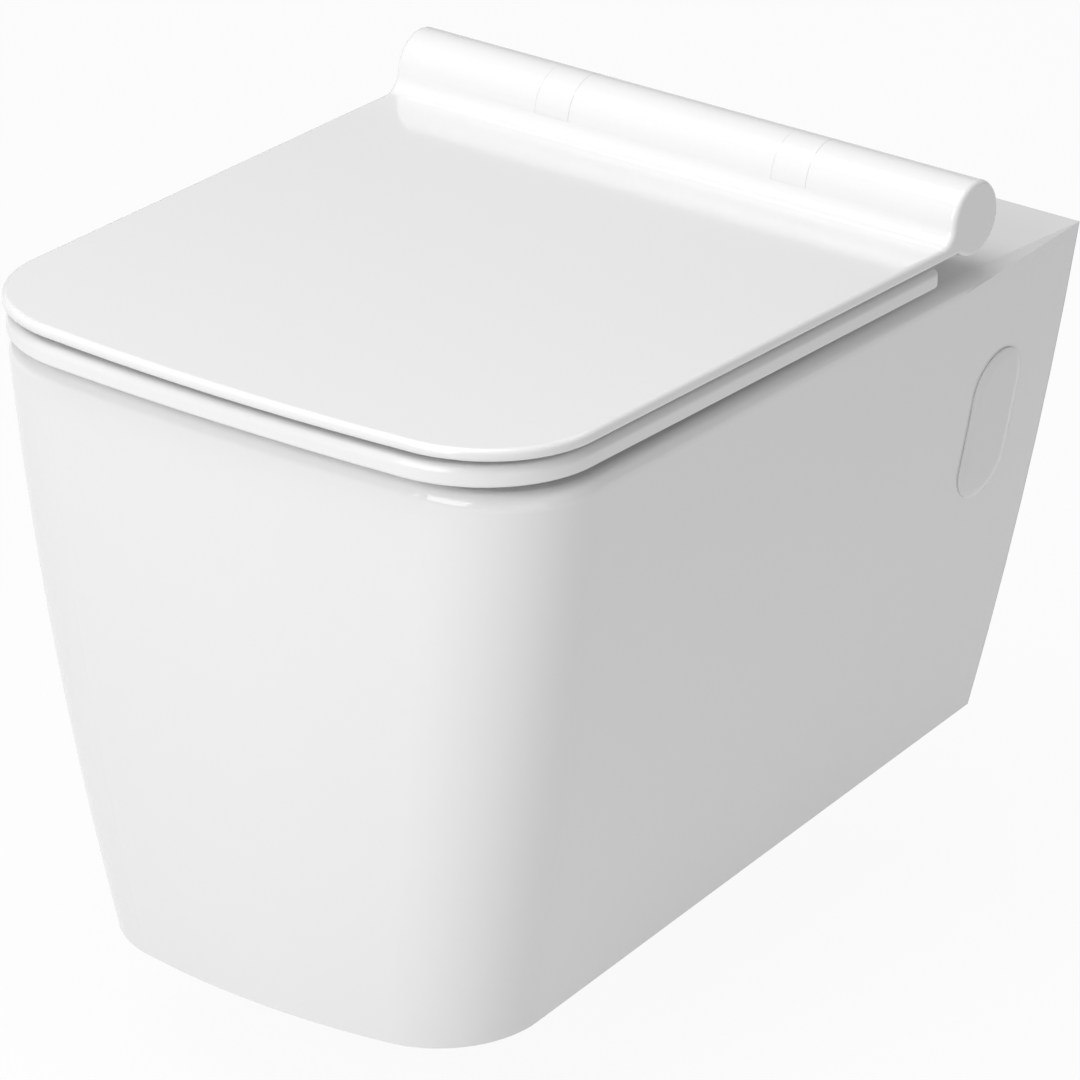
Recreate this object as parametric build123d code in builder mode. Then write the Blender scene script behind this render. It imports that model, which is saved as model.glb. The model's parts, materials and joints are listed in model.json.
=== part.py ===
"""Wall-hung toilet pan with a slow-closing seat and lid, millimetres.

+Z is up, +Y points into the wall and the pan stands out along -Y.
The origin is midway between the two wall fixing bolts, on the wall face.
"""

import os
from math import atan2, cos, degrees, radians, sin, tan

from build123d import *

# Pan, outside. Depths run down from the deck.
DECK_Z = 80.0
FRONT_HEIGHT = 338.0
WALL_HEIGHT = 304.0
DECK_HALF_WIDTH = 179.0
FOOT_HALF_WIDTH = 117.0
SIDE_BULGE = 5.0
DECK_FLARE = 1.5
FOOT_FLARE = 13.5
DECK_FRONT_Y = -517.0
FOOT_FRONT_Y = -485.0
FRONT_BULGE = 4.0
DECK_CORNER_RADIUS = 64.0
FOOT_CORNER_RADIUS = 60.0
DECK_FRONT_BOW = 10.0
FOOT_FRONT_BOW = 19.0
DECK_EDGE_RADIUS = 8.0
EDGE_FADE_LENGTH = 110.0
PAN_SECTIONS = 5
UNDERCUT_ALLOWANCE = 12.0
BACK_OVERRUN = 10.0

# Pan, inside
SKIN_WALL = 11.0
DECK_WALL = 15.0
FLOOR_WALL = 10.0
BACK_WALL = 15.0
VENT_HOLE_RADIUS = 7.0
VENT_HOLE_Y = -420.0

# Bowl: half width, rear y and front y at four depths
BOWL_WALL = 10.0
MOUTH_HALF_WIDTH = 124.0
MOUTH_REAR_Y = -166.0
MOUTH_FRONT_Y = -466.0
MOUTH_CORNER_RADIUS = 95.0
MOUTH_EDGE_RADIUS = 6.0
SHELF_DEPTH = 75.0
SHELF_HALF_WIDTH = 118.0
SHELF_REAR_Y = -168.0
SHELF_FRONT_Y = -452.0
WATER_DEPTH = 184.0
WATER_HALF_WIDTH = 62.0
WATER_REAR_Y = -198.0
WATER_FRONT_Y = -345.0
SUMP_DEPTH = 300.0
SUMP_HALF_WIDTH = 38.0
SUMP_REAR_Y = -222.0
SUMP_FRONT_Y = -304.0
CORNER_SHARE = 0.72

# Trap, outlet and flush inlet
TRAP_RADIUS = 33.0
TRAP_WALL = 9.0
TRAP_START_Y = -258.0
TRAP_LOW_Z = -184.0
TRAP_LOW_Y = -208.0
WEIR_Z = -71.0
WEIR_REAR_Y = -146.0
WEIR_FRONT_Y = -100.0
TRAP_BEND_RADIUS = 46.0
WEIR_BEND_RADIUS = 46.0
OUTLET_Z = -100.0
OUTLET_BEND_Y = -65.0
OUTLET_SOCKET_Y = -60.0
OUTLET_RADIUS = 44.0
SPIGOT_RADIUS = 51.0
SPIGOT_SETBACK = 4.0
SPIGOT_WINDOW_RADIUS = 67.0
INLET_Z = 35.0
INLET_RADIUS = 27.5
INLET_WALL = 8.0
INLET_SEAL_BORE = 22.7
INLET_SEAL_DEPTH = 24.0
INLET_SEAL_SETBACK = 3.0

# Wall fixing
BOLT_SPACING = 180.0
BOLT_RADIUS = 6.5
SLEEVE_RADIUS = 10.0
SLEEVE_FLANGE_RADIUS = 15.0
SLEEVE_FLANGE = 4.0
WASHER_RADIUS = 17.0
WASHER_THICK = 3.0
NUT_ACROSS_FLATS = 19.0
NUT_HEIGHT = 10.0
HOLE_CLEARANCE = 0.5
FACE_GAP = 0.02

# Side caps over the fixing holes
CAP_HEIGHT = 90.0
CAP_WIDTH = 45.0
CAP_Y = -60.0
CAP_Z = -22.0
CAP_PROUD = 2.4
CAP_LIP = 4.0
CAP_PLUG_DEPTH = 15.0
CAP_PLUG_WALL = 3.0
CAP_EDGE_WIDTH = 4.0
CAP_EDGE_STEPS = 3
CAP_CLEARANCE = 0.3
CAP_SEAT_GAP = 0.15

# Seat ring and lid
SEAT_GAP = 6.2
SEAT_THICK = 11.0
SEAT_FRONT_Y = -525.0
SEAT_REAR_Y = -140.0
SEAT_FRONT_HALF_WIDTH = 176.5
SEAT_REAR_HALF_WIDTH = 180.5
SEAT_CORNER_RADIUS = 71.0
SEAT_FRONT_BOW = 9.0
SEAT_EDGE_RADIUS = 4.5
SEAT_UNDER_RADIUS = 2.0
SEAT_REAR_CORNER_RADIUS = 5.0
SEAT_HOLE_HALF_WIDTH = 113.0
SEAT_HOLE_REAR_Y = -186.0
SEAT_HOLE_FRONT_Y = -455.0
SEAT_HOLE_CORNER_RADIUS = 88.0
LID_GAP = 3.5
LID_THICK = 7.0
LID_FRONT_Y = -526.5
LID_FRONT_HALF_WIDTH = 178.5
LID_REAR_HALF_WIDTH = 183.5
LID_CORNER_RADIUS = 69.0
LID_FRONT_BOW = 12.0
LID_EDGE_RADIUS = 3.0
LID_OPEN_DEG = 98.0

# Roll at the rear of the lid and the hinge inside it
HINGE_Y = -112.5
ROLL_RISE = 16.0
ROLL_RADIUS = 21.0
ROLL_WALL = 4.0
ROLL_END_WALL = 7.0
ROLL_TOP_BLEND = 10.0
ROLL_UNDER_BLEND = 6.0
HINGE_SPACING = 155.0
KNUCKLE_WIDTH = 22.0
KNUCKLE_GAP = 0.12
KNUCKLE_ROUND_GAP = 0.08
KNUCKLE_CORE_RADIUS = 14.0
COLLAR_CLEARANCE = 0.03
STEM_DEPTH = 16.0
AXLE_RADIUS = 4.0
AXLE_RUNNING_GAP = 0.05
BARREL_RADIUS = 11.5
BARREL_LENGTH = 26.0
BARREL_GAP = 0.4
DAMPER_RADIUS = 7.5
DAMPER_CLEARANCE = 0.02
WEB_LENGTH = 24.0
WEB_THICK = 6.0
SLOT_SIDE_GAP = 0.6
ARM_LID_GAP = 0.7
ARM_OVERLAP = 12.0
ARM_FRONT_DEG = 233.0
ARM_REAR_DEG = 262.0
SLOT_MARGIN_DEG = 5.0

# Hinge feet and what holds them through the deck
FOOT_RADIUS = 19.0
FOOT_THICK = 3.0
SEAT_BOLT_RADIUS = 4.0
SEAT_BOLT_HOLE_RADIUS = 7.0
SEAT_BOLT_LENGTH = 52.0
BUSH_FLANGE_RADIUS = 12.0
BUSH_FLANGE = 4.0
SEAT_WASHER_RADIUS = 12.0
SEAT_WASHER_THICK = 2.0
SEAT_NUT_RADIUS = 7.3
SEAT_NUT_HEIGHT = 12.0
SEAT_NUT_WING_SPAN = 33.0
SEAT_NUT_WING_THICK = 5.5
BOLT_FIT = 0.02

# Release button in the back of each hinge block
BUTTON_RADIUS = 4.5
BUTTON_LENGTH = 8.0
BUTTON_PROUD = 3.0
BUTTON_TRAVEL = 2.5
BUTTON_RUNNING_GAP = 0.06
BUTTON_RISE = 9.0
BUTTON_EDGE_RADIUS = 1.0

# Rubber buffers
BUFFER_WIDTH = 10.0
BUFFER_LENGTH = 30.0
BUFFER_CORNER_RADIUS = 3.0
SEAT_BUFFER_X = 142.0
SEAT_BUFFER_FRONT_Y = -440.0
SEAT_BUFFER_REAR_Y = -215.0
LID_BUFFER_X = 146.0
LID_BUFFER_FRONT_Y = -425.0
LID_BUFFER_REAR_Y = -235.0
REST_GAP = 0.3

# Sizes that follow
SEAT_Z = DECK_Z + SEAT_GAP
SEAT_TOP_Z = SEAT_Z + SEAT_THICK
LID_Z = SEAT_TOP_Z + LID_GAP
LID_TOP_Z = LID_Z + LID_THICK
HINGE_Z = LID_Z + ROLL_RISE
ROLL_BORE = ROLL_RADIUS - ROLL_WALL
HALF_BOLTS = BOLT_SPACING / 2
HALF_HINGES = HINGE_SPACING / 2
SLEEVE_HOLE_RADIUS = SLEEVE_RADIUS + HOLE_CLEARANCE
PLATE_Z = DECK_Z + FOOT_THICK
SIDES = {"left": -1, "right": 1}
INLET_END_Y = MOUTH_REAR_Y - BOWL_WALL
ACCESS_WIDTH = CAP_WIDTH - 2 * CAP_LIP
ACCESS_HEIGHT = CAP_HEIGHT - 2 * CAP_LIP
BIG = 900.0
NEAR = 1.0
TINY = 0.01

os.makedirs("parts", exist_ok=True)


def export(piece, name):
    """Label a finished piece and write it."""
    piece.label = name
    export_step(piece, f"parts/{name}.step")


def bowed_outline(z, rear_half, front_half, rear_y, front_y, bow, corner):
    """Outline with a straight back, straight sides, rounded front corners and a bowed front."""
    side_y = front_y + bow
    with BuildSketch(Plane.XY.offset(z)) as outline:
        with BuildLine():
            Line((-rear_half, rear_y), (rear_half, rear_y))
            Line((rear_half, rear_y), (front_half, side_y))
            ThreePointArc((front_half, side_y), (0, front_y), (-front_half, side_y))
            Line((-front_half, side_y), (-rear_half, rear_y))
        make_face()
        fillet(outline.vertices().group_by(Axis.Y)[0], corner)
    return outline.sketch


def pan_section(share, inset, back_y):
    """Pan outline at a share of the way from the deck to the foot."""
    straight = 1 - share
    swell = 4 * share * straight
    half = DECK_HALF_WIDTH * straight + FOOT_HALF_WIDTH * share + SIDE_BULGE * swell
    flare = DECK_FLARE * straight + FOOT_FLARE * share
    front_y = DECK_FRONT_Y * straight + FOOT_FRONT_Y * share - FRONT_BULGE * swell
    corner = DECK_CORNER_RADIUS * straight + FOOT_CORNER_RADIUS * share
    bow = DECK_FRONT_BOW * straight + FOOT_FRONT_BOW * share
    z = DECK_Z - FRONT_HEIGHT * share
    # The sides taper towards the wall, so the back corners are found on the same line.
    slope = flare / (front_y + bow)
    rear_half = half + slope * back_y - inset
    front_half = half + flare - inset
    return bowed_outline(z, rear_half, front_half, back_y, front_y + inset, bow, corner - inset)


def pan_block(inset=0.0, top_wall=0.0, floor_wall=0.0, back_y=0.0):
    """Solid pan shape, inset by a wall, cut by the sloping underside."""
    rise = FRONT_HEIGHT - WALL_HEIGHT
    slope = degrees(atan2(rise, -DECK_FRONT_Y))
    lift = floor_wall / cos(radians(slope))
    with BuildPart() as block:
        shares = [i / (PAN_SECTIONS - 1) for i in range(PAN_SECTIONS)]
        reach = 1 + UNDERCUT_ALLOWANCE / FRONT_HEIGHT
        loft([pan_section(share * reach, inset, back_y + BACK_OVERRUN) for share in shares])
        split(bisect_by=Plane.XZ.offset(-back_y), keep=Keep.TOP)
        if top_wall:
            split(bisect_by=Plane.XY.offset(DECK_Z - top_wall), keep=Keep.BOTTOM)
        tilt = (0, -sin(radians(slope)), cos(radians(slope)))
        underside = Plane((0, 0, DECK_Z - WALL_HEIGHT + lift), z_dir=tilt)
        split(bisect_by=underside, keep=Keep.TOP)
    return block.part


def inside_mouth(point):
    """True for a point inside the edge of the bowl's mouth."""
    in_width = abs(point.X) < MOUTH_HALF_WIDTH + NEAR
    return in_width and MOUTH_FRONT_Y - NEAR < point.Y < MOUTH_REAR_Y + NEAR


def rounded_section(depth, half_width, rear_y, front_y, corner, grow=0.0):
    """Rounded oblong across the bowl."""
    plane = Plane((0, (rear_y + front_y) / 2, DECK_Z - depth))
    with BuildSketch(plane) as section:
        width = 2 * (half_width + grow)
        length = rear_y - front_y + 2 * grow
        RectangleRounded(width, length, corner + grow)
    return section.sketch


def bowl_block(grow=0.0, deeper=0.0):
    """Bowl cavity, or the outside of its wall when grown."""
    levels = [
        (0.0, MOUTH_HALF_WIDTH, MOUTH_REAR_Y, MOUTH_FRONT_Y, MOUTH_CORNER_RADIUS),
        (SHELF_DEPTH, SHELF_HALF_WIDTH, SHELF_REAR_Y, SHELF_FRONT_Y, MOUTH_CORNER_RADIUS),
        (WATER_DEPTH, WATER_HALF_WIDTH, WATER_REAR_Y, WATER_FRONT_Y, CORNER_SHARE * WATER_HALF_WIDTH),
        (SUMP_DEPTH + deeper, SUMP_HALF_WIDTH, SUMP_REAR_Y, SUMP_FRONT_Y, CORNER_SHARE * SUMP_HALF_WIDTH),
    ]
    with BuildPart() as bowl:
        loft([rounded_section(*level, grow=grow) for level in levels])
    return bowl.part


def trap_tube(radius):
    """Round passage from the sump over the weir to the outlet socket."""
    points = [
        (TRAP_START_Y, TRAP_LOW_Z),
        (TRAP_LOW_Y, TRAP_LOW_Z),
        (WEIR_REAR_Y, WEIR_Z),
        (WEIR_FRONT_Y, WEIR_Z),
        (OUTLET_BEND_Y, OUTLET_Z),
        (OUTLET_BEND_Y + TRAP_BEND_RADIUS / 2, OUTLET_Z),
    ]
    radii = [TRAP_BEND_RADIUS, TRAP_BEND_RADIUS, WEIR_BEND_RADIUS, WEIR_BEND_RADIUS]
    with BuildPart() as tube:
        with BuildLine(Plane.YZ) as route:
            FilletPolyline(*points, radius=radii)
        with BuildSketch(Plane(route.wire() @ 0, z_dir=route.wire() % 0)):
            Circle(radius)
        sweep(path=route.wire())
    return tube.part


def rod_y(radius, y_from, y_to, x, z):
    """Round bar along Y between two places."""
    with BuildPart() as rod:
        with BuildSketch(Plane((x, y_to, z), x_dir=(1, 0, 0), z_dir=(0, -1, 0))):
            Circle(radius)
        extrude(amount=y_to - y_from)
    return rod.part


def rod_x(radius, x_from, x_to, y=HINGE_Y, z=HINGE_Z):
    """Round bar along X between two places."""
    with BuildPart() as rod:
        with BuildSketch(Plane((x_from, y, z), x_dir=(0, 1, 0), z_dir=(1, 0, 0))):
            Circle(radius)
        extrude(amount=x_to - x_from)
    return rod.part


def rod_z(radius, z_from, z_to, x, y):
    """Round bar along Z between two places."""
    with BuildPart() as rod:
        with BuildSketch(Plane((x, y, z_from))):
            Circle(radius)
        extrude(amount=z_to - z_from)
    return rod.part


def side_slot(height, width, x_from, x_to):
    """Upright round-ended bar across one side of the pan."""
    with BuildPart() as slot:
        with BuildSketch(Plane((x_from, CAP_Y, CAP_Z), x_dir=(0, 1, 0), z_dir=(1, 0, 0))):
            SlotOverall(height, width, rotation=90)
        extrude(amount=x_to - x_from)
    return slot.part


def sector(start_deg, end_deg, radius, x_from, x_to):
    """Wedge round the hinge axis, angles from +Y towards +Z."""
    steps = max(2, int((end_deg - start_deg) / 40) + 1)
    angles = [radians(start_deg + (end_deg - start_deg) * i / steps) for i in range(steps + 1)]
    reach = radius / cos((angles[1] - angles[0]) / 2)
    with BuildPart() as wedge:
        with BuildSketch(Plane((x_from, HINGE_Y, HINGE_Z), x_dir=(0, 1, 0), z_dir=(1, 0, 0))):
            with BuildLine():
                Polyline((0, 0), *[(reach * cos(a), reach * sin(a)) for a in angles], close=True)
            make_face()
        extrude(amount=x_to - x_from)
    return wedge.part


def passages():
    """Everything the water runs through, as one cavity."""
    with BuildPart() as cavity:
        add(bowl_block())
        add(trap_tube(TRAP_RADIUS))
        add(rod_y(OUTLET_RADIUS, OUTLET_SOCKET_Y, 0, 0, OUTLET_Z))
        add(rod_y(INLET_RADIUS, INLET_END_Y, 0, 0, INLET_Z))
    return cavity.part


def inner_walls(hollow):
    """Walls of the bowl, the trap, the spigot and the inlet, kept inside the skin."""
    with BuildPart() as walls:
        add(bowl_block(BOWL_WALL, BOWL_WALL))
        add(trap_tube(TRAP_RADIUS + TRAP_WALL))
        add(rod_y(SPIGOT_RADIUS, OUTLET_SOCKET_Y, -SPIGOT_SETBACK, 0, OUTLET_Z))
        add(rod_y(INLET_RADIUS + INLET_WALL, INLET_END_Y, -BACK_WALL / 2, 0, INLET_Z))
        add(hollow, mode=Mode.INTERSECT)
    return walls.part


def rear_deck_edges():
    """Sharp rear ends of the deck's side edges, where their rounding fades out towards the wall."""
    fade = DECK_EDGE_RADIUS * sin(radians(45)) / EDGE_FADE_LENGTH
    with BuildPart() as edges:
        add(pan_block())
        split(bisect_by=Plane.XY.offset(DECK_Z - DECK_EDGE_RADIUS), keep=Keep.TOP)
        split(bisect_by=Plane.XZ.offset(EDGE_FADE_LENGTH), keep=Keep.BOTTOM)
        for side in SIDES.values():
            outward = (side * sin(radians(45)), -fade, cos(radians(45)))
            split(bisect_by=Plane((side * DECK_HALF_WIDTH, 0, DECK_Z), z_dir=outward), keep=Keep.BOTTOM)
    return edges.part


# Pan body: skin, bowl, trap, spigots and every hole, one piece of glazed ceramic
pan_hollow = pan_block(SKIN_WALL, DECK_WALL, FLOOR_WALL, -BACK_WALL)
with BuildPart() as pan_body:
    add(pan_block())
    deck_edges = pan_body.faces().sort_by(Axis.Z)[-1].edges()
    fillet(deck_edges.filter_by(lambda edge: edge.center().Y < -NEAR), DECK_EDGE_RADIUS)
    add(rear_deck_edges())
    add(pan_hollow, mode=Mode.SUBTRACT)
    add(inner_walls(pan_hollow))
    add(rod_y(SPIGOT_WINDOW_RADIUS, -BACK_WALL, 0, 0, OUTLET_Z), mode=Mode.SUBTRACT)
    add(rod_y(SPIGOT_RADIUS, -BACK_WALL - NEAR, -SPIGOT_SETBACK, 0, OUTLET_Z))
    add(passages(), mode=Mode.SUBTRACT)
    mouth_edges = pan_body.edges().filter_by_position(Axis.Z, DECK_Z - TINY, DECK_Z + TINY)
    mouth_edges = mouth_edges.filter_by(lambda edge: inside_mouth(edge.center()))
    fillet(mouth_edges, MOUTH_EDGE_RADIUS)
    for side in SIDES.values():
        add(rod_y(SLEEVE_HOLE_RADIUS, -BACK_WALL, 0, side * HALF_BOLTS, 0), mode=Mode.SUBTRACT)
        hinge_x = side * HALF_HINGES
        hinge_hole = rod_z(SEAT_BOLT_HOLE_RADIUS, DECK_Z - DECK_WALL, DECK_Z, hinge_x, HINGE_Y)
        add(hinge_hole, mode=Mode.SUBTRACT)
        add(side_slot(ACCESS_HEIGHT, ACCESS_WIDTH, side * HALF_BOLTS, side * BIG), mode=Mode.SUBTRACT)
    add(rod_z(VENT_HOLE_RADIUS, -BIG, OUTLET_Z - SPIGOT_WINDOW_RADIUS, 0, VENT_HOLE_Y), mode=Mode.SUBTRACT)
export(pan_body.part, "pan_body")


# Side caps: a curved cover with a hollow plug that presses into the fixing hole
def cap_layer(inset, proud):
    """Slice of the cap's cover, inset from its edge, that reaches out to a height above the skin."""
    with BuildPart() as layer:
        add(side_slot(CAP_HEIGHT - 2 * inset, CAP_WIDTH - 2 * inset, HALF_BOLTS, BIG))
        add(pan_block(-proud), mode=Mode.INTERSECT)
    return layer.part


with BuildPart() as cap_cover:
    for step in range(CAP_EDGE_STEPS):
        inset = CAP_EDGE_WIDTH * (1 - cos(radians(90 * step / CAP_EDGE_STEPS)))
        add(cap_layer(inset, CAP_PROUD * sin(radians(90 * (step + 1) / CAP_EDGE_STEPS))))
    add(pan_block(-CAP_SEAT_GAP), mode=Mode.SUBTRACT)
with BuildPart() as cap_plug:
    plug_height = ACCESS_HEIGHT - 2 * CAP_CLEARANCE
    plug_width = ACCESS_WIDTH - 2 * CAP_CLEARANCE
    plug_walls = 2 * CAP_PLUG_WALL
    add(side_slot(plug_height, plug_width, HALF_BOLTS, BIG))
    plug_bore = side_slot(plug_height - plug_walls, plug_width - plug_walls, HALF_BOLTS, BIG)
    add(plug_bore, mode=Mode.SUBTRACT)
    add(pan_block(-CAP_PROUD / 2), mode=Mode.INTERSECT)
    add(pan_block(CAP_PLUG_DEPTH, back_y=-NEAR), mode=Mode.SUBTRACT)
with BuildPart() as side_cap_right:
    add(cap_cover.part)
    add(cap_plug.part)
export(side_cap_right.part, "side_cap_right")
with BuildPart() as side_cap_left:
    mirror(side_cap_right.part, about=Plane.YZ)
export(side_cap_left.part, "side_cap_left")

# Rubber seal in the flush inlet
with BuildPart() as flush_inlet_seal:
    seal_end = -INLET_SEAL_SETBACK - INLET_SEAL_DEPTH
    add(rod_y(INLET_RADIUS - FACE_GAP, seal_end, -INLET_SEAL_SETBACK, 0, INLET_Z))
    add(rod_y(INLET_SEAL_BORE, -BIG, 0, 0, INLET_Z), mode=Mode.SUBTRACT)
export(flush_inlet_seal.part, "flush_inlet_seal")

# Wall fixing: plastic sleeves, washers and nuts behind the side caps
sleeve_end = -BACK_WALL - SLEEVE_FLANGE
with BuildPart() as wall_sleeves:
    for side in SIDES.values():
        add(rod_y(SLEEVE_RADIUS, sleeve_end, -FACE_GAP, side * HALF_BOLTS, 0))
        add(rod_y(SLEEVE_FLANGE_RADIUS, sleeve_end, -BACK_WALL - FACE_GAP, side * HALF_BOLTS, 0))
        add(rod_y(BOLT_RADIUS, sleeve_end, 0, side * HALF_BOLTS, 0), mode=Mode.SUBTRACT)
export(wall_sleeves.part, "wall_sleeves")

washer_face = sleeve_end - FACE_GAP
with BuildPart() as wall_washers:
    for side in SIDES.values():
        add(rod_y(WASHER_RADIUS, washer_face - WASHER_THICK, washer_face, side * HALF_BOLTS, 0))
        add(rod_y(BOLT_RADIUS, -BIG, 0, side * HALF_BOLTS, 0), mode=Mode.SUBTRACT)
export(wall_washers.part, "wall_washers")

nut_face = washer_face - WASHER_THICK - FACE_GAP
with BuildPart() as wall_nuts:
    for side in SIDES.values():
        with BuildSketch(Plane((side * HALF_BOLTS, nut_face, 0), x_dir=(1, 0, 0), z_dir=(0, -1, 0))):
            RegularPolygon(NUT_ACROSS_FLATS / 2, 6, major_radius=False)
            Circle(BOLT_RADIUS, mode=Mode.SUBTRACT)
        extrude(amount=NUT_HEIGHT)
export(wall_nuts.part, "wall_nuts")

# Hinge feet, blocks, collars, axles, buttons and bolts, one set on each side
for name, side in SIDES.items():
    x = side * HALF_HINGES
    x_low = x - KNUCKLE_WIDTH / 2
    x_high = x + KNUCKLE_WIDTH / 2
    core_low = x_low + FACE_GAP
    core_high = x_high - FACE_GAP

    with BuildPart() as hinge_foot:
        add(rod_z(FOOT_RADIUS, DECK_Z + FACE_GAP, PLATE_Z, x, HINGE_Y))
        chamfer(hinge_foot.edges().group_by(Axis.Z)[-1], FOOT_THICK / 3)
        add(rod_z(SEAT_BOLT_RADIUS + BOLT_FIT, DECK_Z, PLATE_Z, x, HINGE_Y), mode=Mode.SUBTRACT)
    export(hinge_foot.part, f"hinge_foot_{name}")

    button_z = PLATE_Z + BUTTON_RISE
    button_back = HINGE_Y + STEM_DEPTH / 2
    with BuildPart() as hinge_block:
        add(rod_x(KNUCKLE_CORE_RADIUS, core_low, core_high))
        stem_width = core_high - core_low
        with BuildSketch(Plane((x, HINGE_Y, PLATE_Z + FACE_GAP))):
            Rectangle(stem_width, STEM_DEPTH)
        extrude(amount=HINGE_Z - PLATE_Z - FACE_GAP)
        add(rod_x(AXLE_RADIUS + BOLT_FIT, core_low, core_high), mode=Mode.SUBTRACT)
        pocket_end = button_back - BUTTON_LENGTH + BUTTON_PROUD - BUTTON_TRAVEL - REST_GAP
        pocket = rod_y(BUTTON_RADIUS + BUTTON_RUNNING_GAP, pocket_end, button_back, x, button_z)
        add(pocket, mode=Mode.SUBTRACT)
    export(hinge_block.part, f"hinge_block_{name}")

    with BuildPart() as hinge_collar:
        add(rod_x(ROLL_RADIUS, core_low, core_high))
        add(rod_x(KNUCKLE_CORE_RADIUS + COLLAR_CLEARANCE, core_low, core_high), mode=Mode.SUBTRACT)
        with BuildSketch(Plane((x, HINGE_Y, HINGE_Z - ROLL_RADIUS - 1))):
            Rectangle(KNUCKLE_WIDTH, STEM_DEPTH + 2 * COLLAR_CLEARANCE)
        extrude(amount=ROLL_RADIUS, mode=Mode.SUBTRACT)
    export(hinge_collar.part, f"hinge_collar_{name}")

    with BuildPart() as hinge_axle:
        inner_end = x - side * (KNUCKLE_WIDTH / 2 + BARREL_LENGTH)
        outer_end = x + side * (KNUCKLE_WIDTH / 2 + WEB_LENGTH)
        add(rod_x(AXLE_RADIUS, min(inner_end, outer_end), max(inner_end, outer_end)))
    export(hinge_axle.part, f"hinge_axle_{name}")

    with BuildPart() as release_button:
        button_end = button_back - BUTTON_LENGTH + BUTTON_PROUD
        add(rod_y(BUTTON_RADIUS, button_end, button_back + BUTTON_PROUD, x, button_z))
        fillet(release_button.edges().group_by(Axis.Y)[-1], BUTTON_EDGE_RADIUS)
    export(release_button.part, f"release_button_{name}")

with BuildPart() as seat_bolts:
    for side in SIDES.values():
        bolt_top = PLATE_Z - FACE_GAP
        add(rod_z(SEAT_BOLT_RADIUS, bolt_top - SEAT_BOLT_LENGTH, bolt_top, side * HALF_HINGES, HINGE_Y))
export(seat_bolts.part, "seat_bolts")

deck_under = DECK_Z - DECK_WALL
with BuildPart() as seat_bolt_bushes:
    for side in SIDES.values():
        x = side * HALF_HINGES
        flange_face = deck_under - FACE_GAP
        flange_under = flange_face - BUSH_FLANGE
        add(rod_z(SEAT_BOLT_HOLE_RADIUS - BOLT_FIT, flange_under, DECK_Z - FACE_GAP, x, HINGE_Y))
        add(rod_z(BUSH_FLANGE_RADIUS, flange_under, flange_face, x, HINGE_Y))
        add(rod_z(SEAT_BOLT_RADIUS + BOLT_FIT, 0, DECK_Z, x, HINGE_Y), mode=Mode.SUBTRACT)
export(seat_bolt_bushes.part, "seat_bolt_bushes")

washer_top = deck_under - BUSH_FLANGE - 2 * FACE_GAP
with BuildPart() as seat_bolt_washers:
    for side in SIDES.values():
        x = side * HALF_HINGES
        add(rod_z(SEAT_WASHER_RADIUS, washer_top - SEAT_WASHER_THICK, washer_top, x, HINGE_Y))
        add(rod_z(SEAT_BOLT_RADIUS + BOLT_FIT, 0, DECK_Z, x, HINGE_Y), mode=Mode.SUBTRACT)
export(seat_bolt_washers.part, "seat_bolt_washers")

nut_top = washer_top - SEAT_WASHER_THICK - FACE_GAP
with BuildPart() as seat_bolt_nuts:
    for side in SIDES.values():
        x = side * HALF_HINGES
        add(rod_z(SEAT_NUT_RADIUS, nut_top - SEAT_NUT_HEIGHT, nut_top, x, HINGE_Y))
        with BuildSketch(Plane((x, HINGE_Y, nut_top - SEAT_NUT_HEIGHT))):
            SlotOverall(SEAT_NUT_WING_SPAN, SEAT_NUT_WING_THICK)
        extrude(amount=SEAT_NUT_HEIGHT / 2)
        add(rod_z(SEAT_BOLT_RADIUS + BOLT_FIT, 0, DECK_Z, x, HINGE_Y), mode=Mode.SUBTRACT)
export(seat_bolt_nuts.part, "seat_bolt_nuts")


# Seat ring with an arm and a hinge barrel beside each knuckle
def barrel_span(side):
    """Low and high x of the seat barrel beside a knuckle."""
    near = side * (HALF_HINGES - KNUCKLE_WIDTH / 2 - BARREL_GAP)
    far = side * (HALF_HINGES - KNUCKLE_WIDTH / 2 - BARREL_LENGTH)
    return min(near, far), max(near, far)


def web_span(side):
    """Low and high x of the lid's bearing beside a knuckle."""
    near = side * (HALF_HINGES + KNUCKLE_WIDTH / 2 + KNUCKLE_GAP)
    far = side * (HALF_HINGES + KNUCKLE_WIDTH / 2 + WEB_LENGTH)
    return min(near, far), max(near, far)


def seat_arm(side):
    """Arm that rises from the rear of the seat ring into the roll."""
    x_low, x_high = barrel_span(side)
    under_lid = LID_Z - HINGE_Z - ARM_LID_GAP
    seat_bottom = SEAT_Z - HINGE_Z
    front = SEAT_REAR_Y - HINGE_Y - ARM_OVERLAP
    rear_low = under_lid / tan(radians(ARM_REAR_DEG))
    front_high = under_lid / tan(radians(ARM_FRONT_DEG))
    with BuildPart() as arm:
        with BuildSketch(Plane((x_low, HINGE_Y, HINGE_Z), x_dir=(0, 1, 0), z_dir=(1, 0, 0))):
            with BuildLine():
                Polyline(
                    (front, seat_bottom),
                    (front_high, seat_bottom),
                    (rear_low, under_lid),
                    (0, 0),
                    (front_high, under_lid),
                    (front, under_lid),
                    close=True,
                )
            make_face()
        extrude(amount=x_high - x_low)
        add(rod_x(BARREL_RADIUS, x_low, x_high))
    return arm.part


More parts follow.
